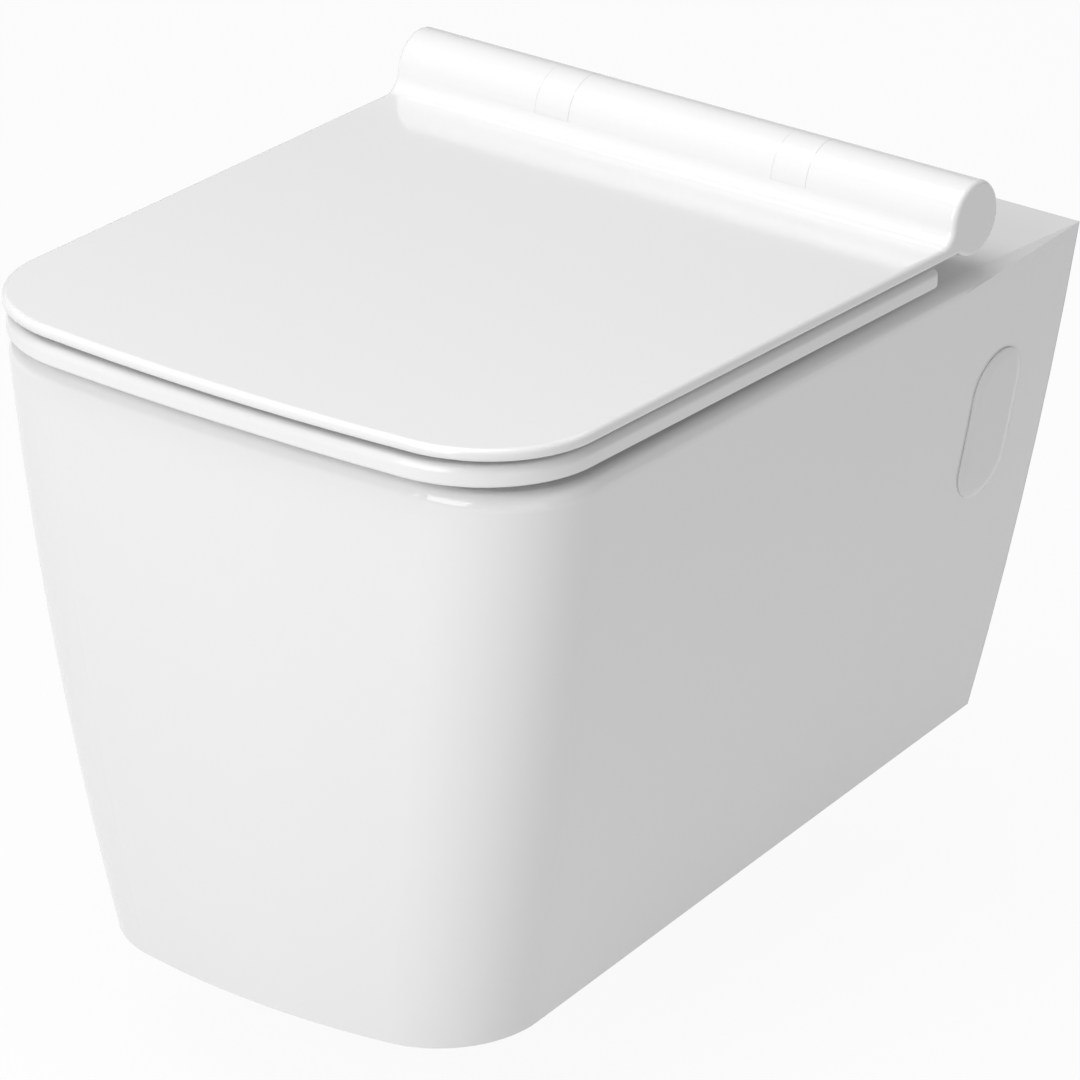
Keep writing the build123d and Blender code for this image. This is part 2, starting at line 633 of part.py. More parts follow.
with BuildPart() as seat:
    with BuildSketch(Plane.XY.offset(SEAT_Z)):
        add(
            bowed_outline(
                0,
                SEAT_REAR_HALF_WIDTH,
                SEAT_FRONT_HALF_WIDTH,
                SEAT_REAR_Y,
                SEAT_FRONT_Y,
                SEAT_FRONT_BOW,
                SEAT_CORNER_RADIUS,
            )
        )
    extrude(amount=SEAT_THICK)
    fillet(seat.edges().filter_by(Axis.Z).group_by(Axis.Y)[-1], SEAT_REAR_CORNER_RADIUS)
    with BuildSketch(Plane((0, (SEAT_HOLE_REAR_Y + SEAT_HOLE_FRONT_Y) / 2, SEAT_Z))):
        RectangleRounded(
            2 * SEAT_HOLE_HALF_WIDTH, SEAT_HOLE_REAR_Y - SEAT_HOLE_FRONT_Y, SEAT_HOLE_CORNER_RADIUS
        )
    extrude(amount=SEAT_THICK, mode=Mode.SUBTRACT)
    fillet(seat.edges().group_by(Axis.Z)[-1], SEAT_EDGE_RADIUS)
    fillet(seat.edges().group_by(Axis.Z)[0], SEAT_UNDER_RADIUS)
    for side in SIDES.values():
        add(seat_arm(side))
        x_low, x_high = barrel_span(side)
        add(rod_x(DAMPER_RADIUS + DAMPER_CLEARANCE, x_low, x_high), mode=Mode.SUBTRACT)
export(seat.part, "seat")


def hinge_insert(x_low, x_high):
    """Cylinder that fills a bearing and turns on the axle."""
    with BuildPart() as insert:
        add(rod_x(DAMPER_RADIUS, x_low, x_high))
        add(rod_x(AXLE_RADIUS + AXLE_RUNNING_GAP, x_low, x_high), mode=Mode.SUBTRACT)
    return insert.part


export(hinge_insert(*barrel_span(SIDES["left"])), "seat_damper")
export(hinge_insert(*barrel_span(SIDES["right"])), "seat_bush")
export(hinge_insert(*web_span(SIDES["right"])), "lid_damper")
export(hinge_insert(*web_span(SIDES["left"])), "lid_bush")

def stands_upright(face):
    """True for the flat and round faces round the lid's edge."""
    if face.geom_type == GeomType.PLANE:
        return abs(face.normal_at().Z) < TINY
    return abs(face.axis_of_rotation.direction.Z) > 1 - TINY


def runs_upright(edge):
    """True for a straight edge along Z."""
    return edge.geom_type == GeomType.LINE and abs(edge.tangent_at(0.5).Z) > 1 - TINY


# Lid: one moulding, a thin plate that sweeps up into a hollow roll over the hinge
with BuildPart() as lid:
    with BuildSketch(Plane.YZ.offset(-LID_REAR_HALF_WIDTH - LID_EDGE_RADIUS)) as lid_profile:
        with Locations((HINGE_Y, HINGE_Z)):
            Circle(ROLL_RADIUS)
        with BuildLine():
            Polyline(
                (LID_FRONT_Y, LID_Z),
                (HINGE_Y, LID_Z),
                (HINGE_Y, LID_TOP_Z),
                (LID_FRONT_Y, LID_TOP_Z),
                close=True,
            )
        make_face()
        junctions = lid_profile.vertices().filter_by_position(
            Axis.X, HINGE_Y - ROLL_RADIUS, HINGE_Y - ROLL_RADIUS / 4
        )
        fillet(junctions.sort_by(Axis.Y)[-1], ROLL_TOP_BLEND)
        low_junctions = lid_profile.vertices().filter_by_position(
            Axis.X, HINGE_Y - ROLL_RADIUS, HINGE_Y - ROLL_RADIUS / 4
        )
        fillet(low_junctions.sort_by(Axis.Y)[0], ROLL_UNDER_BLEND)
    extrude(amount=2 * (LID_REAR_HALF_WIDTH + LID_EDGE_RADIUS))
    plan = bowed_outline(
        SEAT_Z,
        LID_REAR_HALF_WIDTH,
        LID_FRONT_HALF_WIDTH,
        HINGE_Y + ROLL_RADIUS + LID_EDGE_RADIUS,
        LID_FRONT_Y,
        LID_FRONT_BOW,
        LID_CORNER_RADIUS,
    )
    extrude(plan, amount=HINGE_Z + 2 * ROLL_RADIUS - SEAT_Z, mode=Mode.INTERSECT)
    side_faces = lid.faces().filter_by(stands_upright)
    lid_edges = side_faces.edges().filter_by(lambda edge: not runs_upright(edge))
    fillet(lid_edges, LID_EDGE_RADIUS)
    roll_inside = LID_REAR_HALF_WIDTH - ROLL_END_WALL
    add(rod_x(ROLL_BORE, -roll_inside, roll_inside), mode=Mode.SUBTRACT)
    for side in SIDES.values():
        web_low, web_high = web_span(side)
        add(rod_x(BARREL_RADIUS, web_low, web_high))
        web_middle = (web_low + web_high) / 2
        add(rod_x(ROLL_BORE + ROLL_WALL / 2, web_middle - WEB_THICK / 2, web_middle + WEB_THICK / 2))
        add(rod_x(DAMPER_RADIUS + DAMPER_CLEARANCE, web_low, web_high), mode=Mode.SUBTRACT)
        knuckle_half = KNUCKLE_WIDTH / 2 + KNUCKLE_GAP
        knuckle_low = side * HALF_HINGES - knuckle_half
        knuckle_high = side * HALF_HINGES + knuckle_half
        add(rod_x(ROLL_RADIUS + KNUCKLE_ROUND_GAP, knuckle_low, knuckle_high), mode=Mode.SUBTRACT)
        arm_low, arm_high = barrel_span(side)
        slot_low = min(arm_low - SLOT_SIDE_GAP, max(arm_low, knuckle_low))
        slot_high = max(arm_high + SLOT_SIDE_GAP, min(arm_high, knuckle_high))
        slot_start = ARM_FRONT_DEG - SLOT_MARGIN_DEG
        slot_end = ARM_REAR_DEG + LID_OPEN_DEG + SLOT_MARGIN_DEG
        add(sector(slot_start, slot_end, ROLL_RADIUS + ROLL_WALL, slot_low, slot_high), mode=Mode.SUBTRACT)
        with BuildSketch(Plane(((slot_low + slot_high) / 2, HINGE_Y - ROLL_RADIUS / 2, LID_Z))):
            Rectangle(slot_high - slot_low, 2 * ROLL_RADIUS)
        extrude(amount=-ROLL_RADIUS, mode=Mode.SUBTRACT)
export(lid.part, "lid")


def buffers(bottom, top, x, places):
    """Rounded rubber pads at both sides, at each of the given places along Y."""
    with BuildPart() as pads:
        with BuildSketch(Plane.XY.offset(bottom)):
            with Locations([(side * x, y) for side in SIDES.values() for y in places]):
                RectangleRounded(BUFFER_WIDTH, BUFFER_LENGTH, BUFFER_CORNER_RADIUS)
        extrude(amount=top - bottom)
    return pads.part


seat_places = [SEAT_BUFFER_FRONT_Y, SEAT_BUFFER_REAR_Y]
export(buffers(DECK_Z + REST_GAP, SEAT_Z, SEAT_BUFFER_X, seat_places), "seat_buffers")
lid_places = [LID_BUFFER_FRONT_Y, LID_BUFFER_REAR_Y]
export(buffers(SEAT_TOP_Z + REST_GAP, LID_Z, LID_BUFFER_X, lid_places), "lid_buffers")
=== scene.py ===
"""Looks of a wall-hung toilet: glazed pan, moulded seat and lid, hinge hardware and wall fixings.

Everything is in metres in the part's own frame: +Z up, +Y into the wall, +X to the right seen
from the front.
"""

import json
import logging
import math
from dataclasses import dataclass, field
from enum import Enum

import bmesh
import bpy
from mathutils import Matrix, Vector

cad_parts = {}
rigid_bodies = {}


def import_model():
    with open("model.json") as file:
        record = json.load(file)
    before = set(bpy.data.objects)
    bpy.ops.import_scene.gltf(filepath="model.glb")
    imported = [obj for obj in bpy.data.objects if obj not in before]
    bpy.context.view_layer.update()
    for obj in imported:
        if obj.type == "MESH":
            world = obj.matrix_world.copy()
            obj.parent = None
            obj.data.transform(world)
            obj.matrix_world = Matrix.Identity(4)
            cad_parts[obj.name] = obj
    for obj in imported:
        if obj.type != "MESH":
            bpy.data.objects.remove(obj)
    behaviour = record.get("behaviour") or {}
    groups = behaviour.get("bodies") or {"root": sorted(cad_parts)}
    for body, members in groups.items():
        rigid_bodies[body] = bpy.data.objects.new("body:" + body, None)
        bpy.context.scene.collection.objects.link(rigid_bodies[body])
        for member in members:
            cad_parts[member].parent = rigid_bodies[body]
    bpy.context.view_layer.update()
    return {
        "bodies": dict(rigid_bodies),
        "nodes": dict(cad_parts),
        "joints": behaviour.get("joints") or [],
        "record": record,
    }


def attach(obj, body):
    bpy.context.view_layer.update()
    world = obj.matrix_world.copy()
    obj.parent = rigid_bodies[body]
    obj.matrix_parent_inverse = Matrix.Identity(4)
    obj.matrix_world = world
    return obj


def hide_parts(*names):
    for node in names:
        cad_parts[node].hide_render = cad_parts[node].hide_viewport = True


LOG = logging.getLogger("wall_hung_toilet")
SMOOTH_DEG = 38.0
MERGE_DISTANCE = 1e-6
ROUGHNESS_DRIFT_RATIO = 2.3

Colour = tuple[float, float, float, float]

PURE_WHITE: Colour = (1.0, 1.0, 1.0, 1.0)


class Effect(Enum):
    """Shader node groups that several finishes share."""

    GLAZE_FLOW = "glaze_flow"
    TONE_DRIFT = "tone_drift"
    FINE_GRAIN = "fine_grain"
    TURNED_LINES = "turned_lines"


class Side(Enum):
    """Left and right of the pan, seen from the front."""

    LEFT = -1
    RIGHT = 1

    @property
    def word(self) -> str:
        """Name of the side as the pieces use it."""
        return self.name.lower()


@dataclass(frozen=True)
class GroupInput:
    """One named input of a shader node group.

    Args:
        name: Socket name.
        value: Default value.
        kind: Blender's socket class.
    """

    name: str
    value: float
    kind: str = "NodeSocketFloat"


class NodeGraph:
    """Small helper that adds and wires nodes in one tree."""

    def __init__(self, tree: bpy.types.NodeTree) -> None:
        """Keep the tree.

        Args:
            tree: Node tree of a material or of a group.
        """
        self.tree = tree

    def add(self, kind: str, **values: object) -> bpy.types.Node:
        """Add a node and set its properties.

        Args:
            kind: Node class.
            **values: Node properties.

        Returns:
            The new node.
        """
        node = self.tree.nodes.new(kind)
        for name, value in values.items():
            setattr(node, name, value)
        return node

    def link(self, source: bpy.types.NodeSocket, target: bpy.types.NodeSocket) -> None:
        """Wire one socket to another.

        Args:
            source: Output socket.
            target: Input socket.
        """
        self.tree.links.new(source, target)

    def math(
        self, operation: str, first: object, second: object, clamp: bool = False
    ) -> bpy.types.NodeSocket:
        """Add a Math node.

        Args:
            operation: Name of the operation.
            first: Socket or number.
            second: Socket or number.
            clamp: Keep the result between 0 and 1.

        Returns:
            The result socket.
        """
        node = self.add("ShaderNodeMath", operation=operation, use_clamp=clamp)
        for socket, value in zip(node.inputs, (first, second)):
            if isinstance(value, bpy.types.NodeSocket):
                self.link(value, socket)
            else:
                socket.default_value = value
        return node.outputs[0]

    def noise(
        self, vector: bpy.types.NodeSocket, scale: object, detail: float
    ) -> bpy.types.NodeSocket:
        """Add a Noise Texture.

        Args:
            vector: Coordinates.
            scale: Socket or number.
            detail: Octaves.

        Returns:
            The factor socket.
        """
        node = self.add("ShaderNodeTexNoise")
        node.inputs["Detail"].default_value = detail
        self.link(vector, node.inputs["Vector"])
        if isinstance(scale, bpy.types.NodeSocket):
            self.link(scale, node.inputs["Scale"])
        else:
            node.inputs["Scale"].default_value = scale
        return node.outputs["Fac"]


class EffectLibrary:
    """Builds each shared shader effect once and hands it out."""

    def __init__(self) -> None:
        """Start with no groups."""
        self.groups: dict[Effect, bpy.types.NodeTree] = {}

    def get(self, effect: Effect) -> bpy.types.NodeTree:
        """Return the node group of an effect, made on first use.

        Args:
            effect: Which effect.

        Returns:
            The node group.
        """
        if effect not in self.groups:
            makers = {
                Effect.GLAZE_FLOW: self._glaze_flow,
                Effect.TONE_DRIFT: self._tone_drift,
                Effect.FINE_GRAIN: self._fine_grain,
                Effect.TURNED_LINES: self._turned_lines,
            }
            self.groups[effect] = makers[effect]()
        return self.groups[effect]

    @staticmethod
    def _shell(
        effect: Effect, inputs: list[GroupInput], output: str, output_kind: str
    ) -> tuple[NodeGraph, bpy.types.Node, bpy.types.Node]:
        """Make an empty group with its sockets.

        Args:
            effect: Which effect it is for.
            inputs: Named inputs beside the coordinates.
            output: Name of the single output.
            output_kind: Socket class of the output.

        Returns:
            The graph, its input node and its output node.
        """
        tree = bpy.data.node_groups.new(effect.value, "ShaderNodeTree")
        tree.interface.new_socket("Vector", in_out="INPUT", socket_type="NodeSocketVector")
        for item in inputs:
            socket = tree.interface.new_socket(item.name, in_out="INPUT", socket_type=item.kind)
            socket.default_value = item.value
        tree.interface.new_socket(output, in_out="OUTPUT", socket_type=output_kind)
        graph = NodeGraph(tree)
        return graph, graph.add("NodeGroupInput"), graph.add("NodeGroupOutput")

    def _glaze_flow(self) -> bpy.types.NodeTree:
        """Make slow waves and faint orange peel of a poured surface, as a height.

        Returns:
            The node group.
        """
        inputs = [
            GroupInput("Wave Scale", 9.0),
            GroupInput("Peel Scale", 240.0),
            GroupInput("Peel Share", 0.15),
        ]
        graph, start, end = self._shell(Effect.GLAZE_FLOW, inputs, "Height", "NodeSocketFloat")
        wave = graph.noise(start.outputs["Vector"], start.outputs["Wave Scale"], 1.0)
        peel = graph.noise(start.outputs["Vector"], start.outputs["Peel Scale"], 2.0)
        small = graph.math("MULTIPLY", peel, start.outputs["Peel Share"])
        graph.link(graph.math("ADD", wave, small), end.inputs["Height"])
        return graph.tree

    def _tone_drift(self) -> bpy.types.NodeTree:
        """Make a soft drift between two values over the surface.

        Returns:
            The node group.
        """
        inputs = [GroupInput("Scale", 6.0), GroupInput("Low", 0.08), GroupInput("High", 0.14)]
        graph, start, end = self._shell(Effect.TONE_DRIFT, inputs, "Value", "NodeSocketFloat")
        noise = graph.noise(start.outputs["Vector"], start.outputs["Scale"], 3.0)
        span = graph.math("SUBTRACT", start.outputs["High"], start.outputs["Low"])
        above_low = graph.math("MULTIPLY", noise, span)
        graph.link(graph.math("ADD", above_low, start.outputs["Low"]), end.inputs["Value"])
        return graph.tree

    def _fine_grain(self) -> bpy.types.NodeTree:
        """Make the close speckle of a moulded or plated surface, as a height.

        Returns:
            The node group.
        """
        inputs = [GroupInput("Scale", 900.0), GroupInput("Contrast", 1.6)]
        graph, start, end = self._shell(Effect.FINE_GRAIN, inputs, "Height", "NodeSocketFloat")
        noise = graph.noise(start.outputs["Vector"], start.outputs["Scale"], 4.0)
        centred = graph.math("SUBTRACT", noise, 0.5)
        stretched = graph.math("MULTIPLY", centred, start.outputs["Contrast"])
        graph.link(graph.math("ADD", stretched, 0.5, clamp=True), end.inputs["Height"])
        return graph.tree

    def _turned_lines(self) -> bpy.types.NodeTree:
        """Make the fine lines of a turned or brushed metal surface, as a height.

        Returns:
            The node group.
        """
        inputs = [GroupInput("Stretch", 60.0), GroupInput("Scale", 40.0)]
        graph, start, end = self._shell(Effect.TURNED_LINES, inputs, "Height", "NodeSocketFloat")
        parts = graph.add("ShaderNodeSeparateXYZ")
        graph.link(start.outputs["Vector"], parts.inputs[0])
        joined = graph.add("ShaderNodeCombineXYZ")
        stretched = graph.math("MULTIPLY", parts.outputs["Z"], start.outputs["Stretch"])
        graph.link(stretched, joined.inputs["Z"])
        graph.link(parts.outputs["X"], joined.inputs["X"])
        graph.link(parts.outputs["Y"], joined.inputs["Y"])
        graph.link(graph.noise(joined.outputs[0], start.outputs["Scale"], 3.0), end.inputs["Height"])
        return graph.tree


@dataclass(frozen=True)
class Finish:
    """Surface of one material.

    Args:
        name: Material name.
        colour: Base colour, linear.
        second_colour: Colour that the base drifts to.
        rough_low: Least roughness.
        rough_high: Greatest roughness.
        relief: Shared effect that drives the bump.
        relief_strength: Strength of the bump.
        relief_distance: Height of the bump in metres.
        metallic: Metallic share.
        coat: Clear coat weight.
        coat_roughness: Roughness of the coat.
        specular: Specular level.
        ior: Index of refraction.
        drift_scale: Scale of the colour and roughness drift.
        relief_values: Inputs of the relief group by name.
    """

    name: str
    colour: Colour
    second_colour: Colour
    rough_low: float
    rough_high: float
    relief: Effect
    relief_strength: float
    relief_distance: float
    metallic: float = 0.0
    coat: float = 0.0
    coat_roughness: float = 0.05
    specular: float = 0.5
    ior: float = 1.5
    drift_scale: float = 7.0
    relief_values: dict[str, float] = field(default_factory=dict)

    def build(self, effects: EffectLibrary) -> bpy.types.Material:
        """Make the material.

        Args:
            effects: Shared shader effects.

        Returns:
            The finished material.
        """
        material = bpy.data.materials.new(self.name)
        material.use_nodes = True
        graph = NodeGraph(material.node_tree)
        graph.tree.nodes.clear()
        output = graph.add("ShaderNodeOutputMaterial")
        shader = graph.add("ShaderNodeBsdfPrincipled")
        graph.link(shader.outputs[0], output.inputs["Surface"])
        shader.inputs["Metallic"].default_value = self.metallic
        shader.inputs["Coat Weight"].default_value = self.coat
        shader.inputs["Coat Roughness"].default_value = self.coat_roughness
        shader.inputs["Specular IOR Level"].default_value = self.specular
        shader.inputs["IOR"].default_value = self.ior
        place = graph.add("ShaderNodeTexCoord").outputs["Object"]
        self._colour(graph, effects, shader, place)
        self._roughness(graph, effects, shader, place)
        self._relief(graph, effects, shader, place)
        return material

    def _place_group(
        self,
        graph: NodeGraph,
        effects: EffectLibrary,
        effect: Effect,
        place: bpy.types.NodeSocket,
    ) -> bpy.types.Node:
        """Put a shared effect into the material.

        Args:
            graph: The material's graph.
            effects: Shared shader effects.
            effect: Which one.
            place: Coordinates.

        Returns:
            The group node.
        """
        node = graph.add("ShaderNodeGroup", node_tree=effects.get(effect))
        graph.link(place, node.inputs["Vector"])
        return node

    def _colour(
        self,
        graph: NodeGraph,
        effects: EffectLibrary,
        shader: bpy.types.Node,
        place: bpy.types.NodeSocket,
    ) -> None:
        """Drift the base colour between the two colours.

        Args:
            graph: The material's graph.
            effects: Shared shader effects.
            shader: The Principled node.
            place: Coordinates.
        """
        drift = self._place_group(graph, effects, Effect.TONE_DRIFT, place)
        drift.inputs["Scale"].default_value = self.drift_scale
        drift.inputs["Low"].default_value = 0.0
        drift.inputs["High"].default_value = 1.0
        mix = graph.add("ShaderNodeMix", data_type="RGBA")
        graph.link(drift.outputs["Value"], mix.inputs["Factor"])
        mix.inputs["A"].default_value = self.colour
        mix.inputs["B"].default_value = self.second_colour
        graph.link(self.tint(graph, mix.outputs["Result"], place), shader.inputs["Base Color"])

    def tint(
        self, graph: NodeGraph, colour: bpy.types.NodeSocket, place: bpy.types.NodeSocket
    ) -> bpy.types.NodeSocket:
        """Let a kind of finish change the colour; a plain finish leaves it.

        Args:
            graph: The material's graph.
            colour: Drifted base colour.
            place: Coordinates.

        Returns:
            The colour to use.
        """
        return colour

    def _roughness(
        self,
        graph: NodeGraph,
        effects: EffectLibrary,
        shader: bpy.types.Node,
        place: bpy.types.NodeSocket,
    ) -> None:
        """Drift the roughness over the surface.

        Args:
            graph: The material's graph.
            effects: Shared shader effects.
            shader: The Principled node.
            place: Coordinates.
        """
        drift = self._place_group(graph, effects, Effect.TONE_DRIFT, place)
        drift.inputs["Scale"].default_value = ROUGHNESS_DRIFT_RATIO * self.drift_scale
        drift.inputs["Low"].default_value = self.rough_low
        drift.inputs["High"].default_value = self.rough_high
        graph.link(self.dull(graph, drift.outputs["Value"], place), shader.inputs["Roughness"])

    def dull(
        self, graph: NodeGraph, roughness: bpy.types.NodeSocket, place: bpy.types.NodeSocket
    ) -> bpy.types.NodeSocket:
        """Let a kind of finish roughen some places; a plain finish leaves it.

        Args:
            graph: The material's graph.
            roughness: Drifted roughness.
            place: Coordinates.

        Returns:
            The roughness to use.
        """
        return roughness

    def _relief(
        self,
        graph: NodeGraph,
        effects: EffectLibrary,
        shader: bpy.types.Node,
        place: bpy.types.NodeSocket,
    ) -> None:
        """Bump the surface with the finish's own relief.

        Args:
            graph: The material's graph.
            effects: Shared shader effects.
            shader: The Principled node.
            place: Coordinates.
        """
        height = self._place_group(graph, effects, self.relief, place)
        for name, value in self.relief_values.items():
            height.inputs[name].default_value = value
        bump = graph.add("ShaderNodeBump")
        bump.inputs["Strength"].default_value = self.relief_strength
        bump.inputs["Distance"].default_value = self.relief_distance
        graph.link(height.outputs["Height"], bump.inputs["Height"])
        graph.link(bump.outputs["Normal"], shader.inputs["Normal"])


@dataclass(frozen=True)
class GlazedFinish(Finish):
    """White glaze that leaves the ground face against the wall bare.

    Args:
        bare_colour: Colour of the unglazed ceramic.
        bare_roughness: Roughness of the unglazed ceramic.
        bare_from: Y from which the ceramic is unglazed.
    """

    bare_colour: Colour = (0.72, 0.68, 0.6, 1.0)
    bare_roughness: float = 0.75
    bare_from: float = -0.0006

    def _bare_mask(self, graph: NodeGraph, place: bpy.types.NodeSocket) -> bpy.types.NodeSocket:
        """Make a mask of the ground face against the wall.

        Args:
            graph: The material's graph.
            place: Coordinates.

        Returns:
            1 on the unglazed face, 0 elsewhere.
        """
        parts = graph.add("ShaderNodeSeparateXYZ")
        graph.link(place, parts.inputs[0])
        return graph.math("GREATER_THAN", parts.outputs["Y"], self.bare_from)

    def tint(
        self, graph: NodeGraph, colour: bpy.types.NodeSocket, place: bpy.types.NodeSocket
    ) -> bpy.types.NodeSocket:
        """Show the bare ceramic on the face against the wall.

        Args:
            graph: The material's graph.
            colour: Drifted base colour.
            place: Coordinates.

        Returns:
            The glaze's colour, or the ceramic's on the bare face.
        """
        mix = graph.add("ShaderNodeMix", data_type="RGBA")
        graph.link(self._bare_mask(graph, place), mix.inputs["Factor"])
        graph.link(colour, mix.inputs["A"])
        mix.inputs["B"].default_value = self.bare_colour
        return mix.outputs["Result"]

    def dull(
        self, graph: NodeGraph, roughness: bpy.types.NodeSocket, place: bpy.types.NodeSocket
    ) -> bpy.types.NodeSocket:
        """Roughen the bare ceramic on the face against the wall.

        Args:
            graph: The material's graph.
            roughness: Drifted roughness.
            place: Coordinates.

        Returns:
            The glaze's roughness, or the ceramic's on the bare face.
        """
        extra = graph.math("MULTIPLY", self._bare_mask(graph, place), self.bare_roughness)
        return graph.math("ADD", roughness, extra, clamp=True)


WHITE_GLAZE = GlazedFinish(
    name="white_glaze",
    colour=(0.85, 0.85, 0.85, 1.0),
    second_colour=(0.835, 0.836, 0.836, 1.0),
    rough_low=0.07,
    rough_high=0.12,
    relief=Effect.GLAZE_FLOW,
    relief_strength=0.12,
    relief_distance=0.0012,
    coat=0.3,
    coat_roughness=0.04,
    ior=1.52,
    relief_values={"Wave Scale": 7.0, "Peel Scale": 190.0, "Peel Share": 0.02},
)
WHITE_DUROPLAST = Finish(
    name="white_duroplast",
    colour=(0.86, 0.86, 0.86, 1.0),
    second_colour=(0.85, 0.851, 0.851, 1.0),
    rough_low=0.1,
    rough_high=0.15,
    relief=Effect.GLAZE_FLOW,
    relief_strength=0.05,
    relief_distance=0.0006,
    coat=0.2,
    coat_roughness=0.06,
    relief_values={"Wave Scale": 5.0, "Peel Scale": 320.0, "Peel Share": 0.03},
)
CAP_PLASTIC = Finish(
    name="white_cap_plastic",
    colour=(0.85, 0.85, 0.85, 1.0),
    second_colour=(0.835, 0.836, 0.836, 1.0),
    rough_low=0.16,
    rough_high=0.24,
    relief=Effect.FINE_GRAIN,
    relief_strength=0.05,
    relief_distance=0.0002,
    relief_values={"Scale": 700.0},
)
SATIN_STEEL = Finish(
    name="satin_stainless",
    colour=(0.55, 0.55, 0.56, 1.0),
    second_colour=(0.47, 0.47, 0.485, 1.0),
    rough_low=0.22,
    rough_high=0.34,
    relief=Effect.TURNED_LINES,
    relief_strength=0.2,
    relief_distance=0.0002,
    metallic=1.0,
    drift_scale=30.0,
)
GROUND_STEEL = Finish(
    name="ground_axle_steel",
    colour=(0.6, 0.6, 0.61, 1.0),
    second_colour=(0.5, 0.5, 0.515, 1.0),
    rough_low=0.14,
    rough_high=0.24,
    relief=Effect.TURNED_LINES,
    relief_strength=0.12,
    relief_distance=0.0001,
    metallic=1.0,
    drift_scale=50.0,
    relief_values={"Stretch": 4.0, "Scale": 300.0},
)
ZINC_PLATE = Finish(
    name="zinc_plate",
    colour=(0.62, 0.64, 0.66, 1.0),
    second_colour=(0.5, 0.51, 0.54, 1.0),
    rough_low=0.3,
    rough_high=0.46,
    relief=Effect.FINE_GRAIN,
    relief_strength=0.2,
    relief_distance=0.0002,
    metallic=1.0,
    drift_scale=60.0,
)
BUTTON_PLASTIC = Finish(
    name="grey_button_plastic",
    colour=(0.42, 0.43, 0.44, 1.0),
    second_colour=(0.38, 0.39, 0.4, 1.0),
    rough_low=0.3,
    rough_high=0.4,
    relief=Effect.FINE_GRAIN,
    relief_strength=0.15,
    relief_distance=0.0002,
    drift_scale=80.0,
)
DAMPER_PLASTIC = Finish(
    name="dark_damper_plastic",
    colour=(0.035, 0.035, 0.038, 1.0),
    second_colour=(0.06, 0.06, 0.062, 1.0),
    rough_low=0.42,
    rough_high=0.55,
    relief=Effect.FINE_GRAIN,
    relief_strength=0.25,
    relief_distance=0.0003,
    drift_scale=70.0,
)
NYLON = Finish(
    name="natural_nylon",
    colour=(0.66, 0.65, 0.6, 1.0),
    second_colour=(0.6, 0.59, 0.54, 1.0),
    rough_low=0.36,
    rough_high=0.5,
    relief=Effect.FINE_GRAIN,
    relief_strength=0.2,
    relief_distance=0.0003,
    drift_scale=60.0,
)
PALE_RUBBER = Finish(
    name="pale_rubber",
    colour=(0.62, 0.62, 0.61, 1.0),
    second_colour=(0.56, 0.56, 0.55, 1.0),
    rough_low=0.5,
    rough_high=0.64,
    relief=Effect.FINE_GRAIN,
    relief_strength=0.3,
    relief_distance=0.0003,
    specular=0.35,
    drift_scale=60.0,
)


class Workshop:
    """Finished materials and the loaded frame, shared by every sub-assembly."""

    def __init__(self, frame: dict) -> None:
        """Keep the frame and start the material store.
        """
        self.frame = frame
        self.effects = EffectLibrary()
        self.made: dict[str, bpy.types.Material] = {}

    def material(self, finish: Finish) -> bpy.types.Material:
        """Return the material of a finish, made on first use.

        Args:
            finish: The finish.

        Returns:
            Its material.
        """
        if finish.name not in self.made:
            self.made[finish.name] = finish.build(self.effects)
        return self.made[finish.name]

    def dress(self, node: str, finish: Finish) -> None:
        """Give a carried-over node its material.

        Args:
            node: Node name.
            finish: Its finish.
        """
        slots = self.frame["nodes"][node].material_slots
        if not slots:
            self.frame["nodes"][node].data.materials.append(self.material(finish))
        for slot in slots:
            slot.material = self.material(finish)
        LOG.info("%s wears %s", node, finish.name)

    def piece(
        self, name: str, mesh: bmesh.types.BMesh, finish: Finish, body: str
    ) -> bpy.types.Object:
        """Turn a bmesh into a piece that rides on a body.

        Args:
            name: Piece name.
            mesh: The finished bmesh, which is freed.
            finish: Its finish.
            body: Body that it moves with.

        Returns:
            The new object.
        """
        data = bpy.data.meshes.new(name)
        bmesh.ops.recalc_face_normals(mesh, faces=mesh.faces)
        for face in mesh.faces:
            face.smooth = True
        for edge in mesh.edges:
            edge.smooth = edge.calc_face_angle(0.0) < math.radians(SMOOTH_DEG)
        mesh.to_mesh(data)
        mesh.free()
        thing = bpy.data.objects.new(name, data)
        bpy.context.scene.collection.objects.link(thing)
        data.materials.append(self.material(finish))
        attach(thing, body)
        LOG.info("%s rides on %s", name, body)
        return thing


